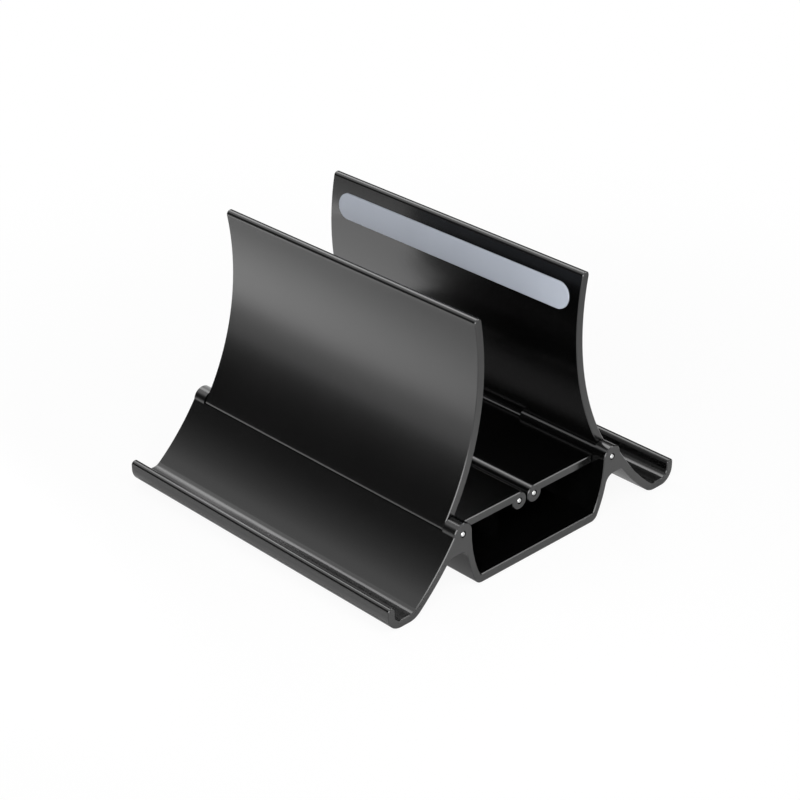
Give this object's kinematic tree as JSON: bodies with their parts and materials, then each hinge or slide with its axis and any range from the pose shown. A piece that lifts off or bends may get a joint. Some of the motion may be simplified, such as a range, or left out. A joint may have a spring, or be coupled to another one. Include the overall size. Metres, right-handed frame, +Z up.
{
  "type": "vertical laptop stand",
  "caption": "Free-standing stand that holds a closed laptop on edge: its weight presses sprung floor panels down and curved jaws swing in. A lipped ledge on each side holds a phone.",
  "frame": {"origin": "middle of the underside, on the table that the stand rests on", "axes": "+X along the hinges, +Y from the front wing to the back wing, +Z up"},
  "size_m": [0.15, 0.1594, 0.1077],
  "materials": {
    "moulded_abs": "satin moulded ABS, black",
    "moulded_acetal": "moulded acetal, black",
    "grip_silicone": "matt moulded silicone, pale grey",
    "foot_silicone": "matt moulded silicone, dark grey",
    "ground_steel": "ground steel",
    "spring_steel": "drawn spring wire"
  },
  "bodies": {
    "base": {"base": "moulded_abs", "back_left_hinge_pin": "ground_steel", "back_right_hinge_pin": "ground_steel", "front_left_hinge_pin": "ground_steel", "front_right_hinge_pin": "ground_steel", "back_left_spring": "spring_steel", "back_right_spring": "spring_steel", "front_left_spring": "spring_steel", "front_right_spring": "spring_steel", "front_foot": "foot_silicone", "back_foot": "foot_silicone"},
    "front_jaw": {"front_jaw": "moulded_abs", "front_grip_pad": "grip_silicone", "front_link_rod": "ground_steel"},
    "back_jaw": {"back_jaw": "moulded_abs", "back_grip_pad": "grip_silicone", "back_link_rod": "ground_steel"},
    "link": {"centre_link": "moulded_acetal"}
  },
  "joints": [
    {"name": "back_hinge", "type": "hinge", "parent": "base", "child": "back_jaw", "pos_m": [0, 0.04145, 0.0264], "axis": [1, 0, 0], "range_deg": [0, 18], "stiffness_Nm_per_rad": 0.25, "springref_deg": -5, "deforming": ["back_left_spring", "back_right_spring"]},
    {"name": "front_hinge", "type": "hinge", "parent": "base", "child": "front_jaw", "pos_m": [0, -0.04145, 0.0264], "axis": [-1, 0, 0], "range_deg": [0, 18], "stiffness_Nm_per_rad": 0.25, "springref_deg": -5, "deforming": ["front_left_spring", "front_right_spring"]},
    {"name": "link_pivot", "type": "hinge", "parent": "back_jaw", "child": "link", "pos_m": [0, 0.0041, 0.0224], "axis": [-1, 0, 0], "range_deg": [0, 18]}
  ],
  "couplings": [
    {"joint": "front_hinge", "follows": "back_hinge", "ratio": 1},
    {"joint": "link_pivot", "follows": "back_hinge", "ratio": 1}
  ]
}
